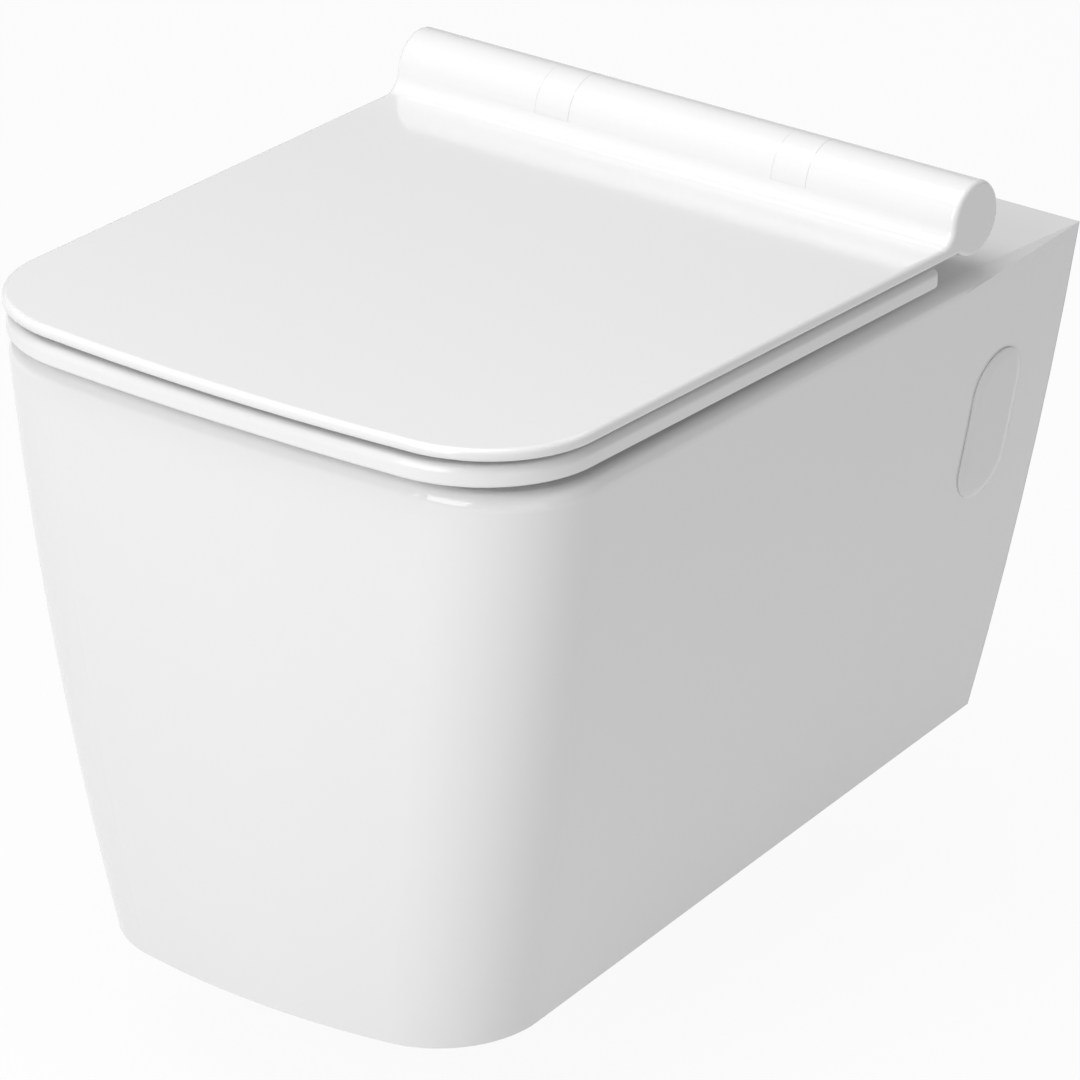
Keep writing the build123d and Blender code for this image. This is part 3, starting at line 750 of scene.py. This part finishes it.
@dataclass
class Studio:
    """Floor, soft lights, world and the camera at the photograph's angle.

    Args:
        azimuth_deg: Camera angle round the pan from straight ahead.
        elevation_deg: Camera angle above the horizon.
        roll_deg: Tilt of the camera about its own line of sight.
        distance: From the camera to the target.
        target: Point on the line of sight.
        lens_mm: Focal length.
        sensor_mm: Width of the camera's sensor.
        clip_near: Nearest distance that the camera shows.
        clip_far: Farthest distance that the camera shows.
        floor_z: Height of the floor, negative below the wall bolts.
        floor_size: Edge length of the floor.
        floor_grey: Colour of the floor as it lights the part.
        floor_white_share: Share of white that the camera and reflections see in the floor.
        ambient: Strength of the even light from all round.
        light_aim: Point that every soft box faces.
    """

    azimuth_deg: float = 35.139
    elevation_deg: float = 24.027
    roll_deg: float = 1.665
    distance: float = 4.0759
    target: Vector = field(default_factory=lambda: Vector((-0.02765, -0.20331, -0.09633)))
    lens_mm: float = 250.08
    sensor_mm: float = 36.0
    clip_near: float = 0.1
    clip_far: float = 60.0
    floor_z: float = -0.32
    floor_size: float = 16.0
    floor_grey: Colour = (0.8, 0.8, 0.8, 1.0)
    floor_white_share: float = 0.93
    ambient: float = 0.34
    light_aim: Vector = field(default_factory=lambda: Vector((0.0, -0.25, -0.05)))

    def build(self) -> None:
        """Make everything that isn't the object."""
        self._camera()
        self._floor()
        self._world()
        self._lights()
        bpy.context.scene.view_settings.view_transform = "Standard"

    def _camera(self) -> None:
        """Place the camera."""
        azimuth = math.radians(self.azimuth_deg)
        elevation = math.radians(self.elevation_deg)
        back = Vector(
            (
                math.sin(azimuth) * math.cos(elevation),
                -math.cos(azimuth) * math.cos(elevation),
                math.sin(elevation),
            )
        )
        right = Vector((math.cos(azimuth), math.sin(azimuth), 0.0))
        up = back.cross(right)
        turn = math.radians(self.roll_deg)
        rolled_right = math.cos(turn) * right + math.sin(turn) * up
        rolled_up = math.cos(turn) * up - math.sin(turn) * right
        data = bpy.data.cameras.new("photo_camera")
        data.sensor_width = self.sensor_mm
        data.lens = self.lens_mm
        data.clip_start = self.clip_near
        data.clip_end = self.clip_far
        camera = bpy.data.objects.new("photo_camera", data)
        axes = Matrix((rolled_right, rolled_up, back)).transposed().to_4x4()
        camera.matrix_world = Matrix.Translation(self.target + back * self.distance) @ axes
        bpy.context.scene.collection.objects.link(camera)
        bpy.context.scene.camera = camera

    def _floor(self) -> None:
        """Lay a pale floor that shows white and keeps a soft shadow."""
        mesh = bmesh.new()
        bmesh.ops.create_grid(mesh, x_segments=1, y_segments=1, size=self.floor_size / 2)
        bmesh.ops.translate(mesh, verts=mesh.verts, vec=(0.0, 0.0, self.floor_z))
        data = bpy.data.meshes.new("floor")
        mesh.to_mesh(data)
        mesh.free()
        floor = bpy.data.objects.new("floor", data)
        bpy.context.scene.collection.objects.link(floor)
        data.materials.append(self._floor_material())

    def _floor_material(self) -> bpy.types.Material:
        """Make the floor's material.

        Returns:
            A pale material that the camera and reflections see as near white.
        """
        material = bpy.data.materials.new("studio_floor")
        material.use_nodes = True
        graph = NodeGraph(material.node_tree)
        graph.tree.nodes.clear()
        output = graph.add("ShaderNodeOutputMaterial")
        pale = graph.add("ShaderNodeBsdfDiffuse")
        pale.inputs["Color"].default_value = self.floor_grey
        white = graph.add("ShaderNodeEmission")
        white.inputs["Color"].default_value = PURE_WHITE
        path = graph.add("ShaderNodeLightPath")
        seen = graph.math("MAXIMUM", path.outputs["Is Camera Ray"], path.outputs["Is Glossy Ray"])
        share = graph.math("MULTIPLY", seen, self.floor_white_share)
        mix = graph.add("ShaderNodeMixShader")
        graph.link(share, mix.inputs["Fac"])
        graph.link(pale.outputs[0], mix.inputs[1])
        graph.link(white.outputs[0], mix.inputs[2])
        graph.link(mix.outputs[0], output.inputs["Surface"])
        return material

    def _world(self) -> None:
        """Light the scene evenly and show white where the camera looks past the floor."""
        world = bpy.data.worlds.new("studio_world")
        bpy.context.scene.world = world
        world.use_nodes = True
        graph = NodeGraph(world.node_tree)
        graph.tree.nodes.clear()
        output = graph.add("ShaderNodeOutputWorld")
        ambient = graph.add("ShaderNodeBackground")
        ambient.inputs["Color"].default_value = PURE_WHITE
        ambient.inputs["Strength"].default_value = self.ambient
        shown = graph.add("ShaderNodeBackground")
        shown.inputs["Color"].default_value = PURE_WHITE
        shown.inputs["Strength"].default_value = 1.0
        path = graph.add("ShaderNodeLightPath")
        mix = graph.add("ShaderNodeMixShader")
        graph.link(path.outputs["Is Camera Ray"], mix.inputs["Fac"])
        graph.link(ambient.outputs[0], mix.inputs[1])
        graph.link(shown.outputs[0], mix.inputs[2])
        graph.link(mix.outputs[0], output.inputs["Surface"])

    def _lights(self) -> None:
        """Hang the soft boxes."""
        self._soft_box("front_key", Vector((-0.2, -3.3, 1.35)), 2.0, 42.0)
        self._soft_box("top_fill", Vector((-0.3, -0.9, 2.4)), 2.2, 42.0)
        self._soft_box("right_fill", Vector((2.6, -1.4, 0.6)), 1.4, 4.0)

    def _soft_box(self, name: str, place: Vector, size: float, watts: float) -> None:
        """Add one square area light aimed at the pan.

        Args:
            name: Light name.
            place: Where it hangs.
            size: Edge length.
            watts: Power.
        """
        data = bpy.data.lights.new(name, "AREA")
        data.size = size
        data.energy = watts
        light = bpy.data.objects.new(name, data)
        aim = self.light_aim - place
        turned = aim.to_track_quat("-Z", "Y").to_matrix().to_4x4()
        light.matrix_world = Matrix.Translation(place) @ turned
        bpy.context.scene.collection.objects.link(light)


@dataclass(frozen=True)
class PanSide:
    """The pan's curved side, as its reach from the middle at a depth and a height.

    Args:
        deck_z: Height of the deck.
        height: From the deck down to the foot.
        deck_half: Half width of the deck at the wall.
        foot_half: Half width of the foot at the wall.
        bulge: How far the side swells between deck and foot.
        deck_flare: How much wider the deck is at its front.
        foot_flare: How much wider the foot is at its front.
        deck_end_y: Where the straight side ends on the deck.
        foot_end_y: Where the straight side ends on the foot.
        front_bulge: How far the front swells between deck and foot.
    """

    deck_z: float = 0.080
    height: float = 0.338
    deck_half: float = 0.179
    foot_half: float = 0.117
    bulge: float = 0.005
    deck_flare: float = 0.0015
    foot_flare: float = 0.0135
    deck_end_y: float = -0.507
    foot_end_y: float = -0.466
    front_bulge: float = 0.004

    def reach(self, y: float, z: float) -> float:
        """Return how far out the side is.

        Args:
            y: Depth, negative in front of the wall.
            z: Height.

        Returns:
            Distance from the middle plane.
        """
        share = (self.deck_z - z) / self.height
        rest = 1.0 - share
        swell = 4.0 * share * rest
        half = self.deck_half * rest + self.foot_half * share + self.bulge * swell
        flare = self.deck_flare * rest + self.foot_flare * share
        end_y = self.deck_end_y * rest + self.foot_end_y * share - self.front_bulge * swell
        return half + flare * y / end_y


@dataclass
class SideCap:
    """Round-ended cover over a fixing hole, dished down to a thin edge, with its hollow plug.

    Args:
        side: Side of the pan.
        skin: The curved side that the cover lies on.
        centre_y: Depth of the middle.
        centre_z: Height of the middle.
        height: Overall height.
        width: Overall width.
        plug_inset: From the cover's edge to the plug.
        plug_wall: Thickness of the plug's wall.
        plug_depth: Reach of the plug behind the skin.
        seat_gap: Clearance between the skin and the cover.
        edge_proud: Height of the cover's edge above the skin.
        top_proud: Height of the cover's flat above the skin.
        slope: Width of the soft slope between the two.
        lip: Size of the small bevel on the cover's edge.
        arc_steps: Faces round each rounded end.
        run_steps: Faces along each straight run.
        slope_steps: Faces across the soft slope.
    """

    side: Side
    skin: PanSide = field(default_factory=PanSide)
    centre_y: float = -0.060
    centre_z: float = -0.022
    height: float = 0.090
    width: float = 0.045
    plug_inset: float = 0.0043
    plug_wall: float = 0.003
    plug_depth: float = 0.015
    seat_gap: float = 0.00015
    edge_proud: float = 0.0011
    top_proud: float = 0.0024
    slope: float = 0.0075
    lip: float = 0.0002
    arc_steps: int = 28
    run_steps: int = 8
    slope_steps: int = 8

    def build(self, shop: Workshop) -> None:
        """Make the cover and put it in its node's place.

        Args:
            shop: Materials and frame.
        """
        mesh = bmesh.new()
        rings = [self._ring(mesh, inset, proud) for inset, proud in self._profile()]
        for near, far in zip(rings, rings[1:]):
            for index, corner in enumerate(near):
                mesh.faces.new((near[index - 1], corner, far[index], far[index - 1]))
        bmesh.ops.remove_doubles(mesh, verts=mesh.verts, dist=MERGE_DISTANCE)
        cover = shop.piece(f"cap_cover_{self.side.word}", mesh, CAP_PLASTIC, "pan")
        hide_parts(f"side_cap_{self.side.word}")

    def _profile(self) -> list[tuple[float, float]]:
        """Trace the cover's section from the middle of its flat round to the middle of its back.

        Returns:
            Distance inside the cover's edge and height above the skin, point by point.
        """
        middle = self.width / 2
        bore_inset = self.plug_inset + self.plug_wall
        front = [(middle, self.top_proud), (2 * self.slope, self.top_proud)]
        for step in range(self.slope_steps, 0, -1):
            share = step / self.slope_steps
            rise = (self.top_proud - self.edge_proud) * math.sin(math.pi / 2 * share)
            front.append((self.lip + self.slope * share, self.edge_proud + rise))
        edge = [
            (self.lip, self.edge_proud),
            (0.0, self.edge_proud - self.lip),
            (0.0, self.seat_gap),
        ]
        plug = [
            (self.plug_inset, self.seat_gap),
            (self.plug_inset, -self.plug_depth),
            (bore_inset, -self.plug_depth),
            (bore_inset, self.seat_gap),
            (middle, self.seat_gap),
        ]
        return front + edge + plug

    def _ring(
        self, mesh: bmesh.types.BMesh, inset: float, proud: float
    ) -> list[bmesh.types.BMVert]:
        """Add one round-ended ring of corners.

        Args:
            mesh: Mesh that takes the corners.
            inset: Distance inside the cover's edge.
            proud: Height above the skin.

        Returns:
            The ring's corners.
        """
        radius = self.width / 2 - inset
        run = (self.height - self.width) / 2
        outline = []
        for end in (1, -1):
            for step in range(self.arc_steps + 1):
                turn = math.pi * step / self.arc_steps
                across = end * radius * math.cos(turn)
                outline.append((across, end * (run + radius * math.sin(turn))))
            for step in range(1, self.run_steps):
                share = 1 - 2 * step / self.run_steps
                outline.append((-end * radius, end * run * share))
        corners = []
        for across, along in outline:
            y = self.centre_y + across
            z = self.centre_z + along
            x = self.side.value * (self.skin.reach(y, z) + proud)
            corners.append(mesh.verts.new((x, y, z)))
        return corners


@dataclass
class PanAssembly:
    """Ceramic pan with its caps, inlet seal and wall fixings."""

    def build(self, shop: Workshop) -> None:
        """Dress the pan and what it carries.

        Args:
            shop: Materials and frame.
        """
        shop.dress("pan_body", WHITE_GLAZE)
        for side in Side:
            SideCap(side).build(shop)
        shop.dress("flush_inlet_seal", PALE_RUBBER)
        shop.dress("wall_sleeves", NYLON)
        shop.dress("wall_washers", ZINC_PLATE)
        shop.dress("wall_nuts", ZINC_PLATE)


@dataclass
class SeatAssembly:
    """Seat ring, lid, their buffers and their hinge inserts."""

    def build(self, shop: Workshop) -> None:
        """Dress the seat and the lid.

        Args:
            shop: Materials and frame.
        """
        shop.dress("seat", WHITE_DUROPLAST)
        shop.dress("lid", WHITE_DUROPLAST)
        shop.dress("seat_buffers", PALE_RUBBER)
        shop.dress("lid_buffers", PALE_RUBBER)
        shop.dress("seat_damper", DAMPER_PLASTIC)
        shop.dress("lid_damper", DAMPER_PLASTIC)
        shop.dress("seat_bush", NYLON)
        shop.dress("lid_bush", NYLON)


@dataclass
class HingeAssembly:
    """Hinge feet, blocks, collars, axles, buttons and the bolts through the deck."""

    def build(self, shop: Workshop) -> None:
        """Dress both hinges.

        Args:
            shop: Materials and frame.
        """
        for side in Side:
            shop.dress(f"hinge_collar_{side.word}", WHITE_DUROPLAST)
            shop.dress(f"hinge_foot_{side.word}", SATIN_STEEL)
            shop.dress(f"hinge_block_{side.word}", SATIN_STEEL)
            shop.dress(f"hinge_axle_{side.word}", GROUND_STEEL)
            shop.dress(f"release_button_{side.word}", BUTTON_PLASTIC)
        shop.dress("seat_bolts", ZINC_PLATE)
        shop.dress("seat_bolt_washers", ZINC_PLATE)
        shop.dress("seat_bolt_nuts", NYLON)
        shop.dress("seat_bolt_bushes", PALE_RUBBER)


def main() -> None:
    """Load the frame, dress the object and light it."""
    logging.basicConfig(level=logging.INFO, format="%(name)s: %(message)s")
    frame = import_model()
    shop = Workshop(frame)
    Studio().build()
    PanAssembly().build(shop)
    SeatAssembly().build(shop)
    HingeAssembly().build(shop)


if __name__ == "__main__":
    main()
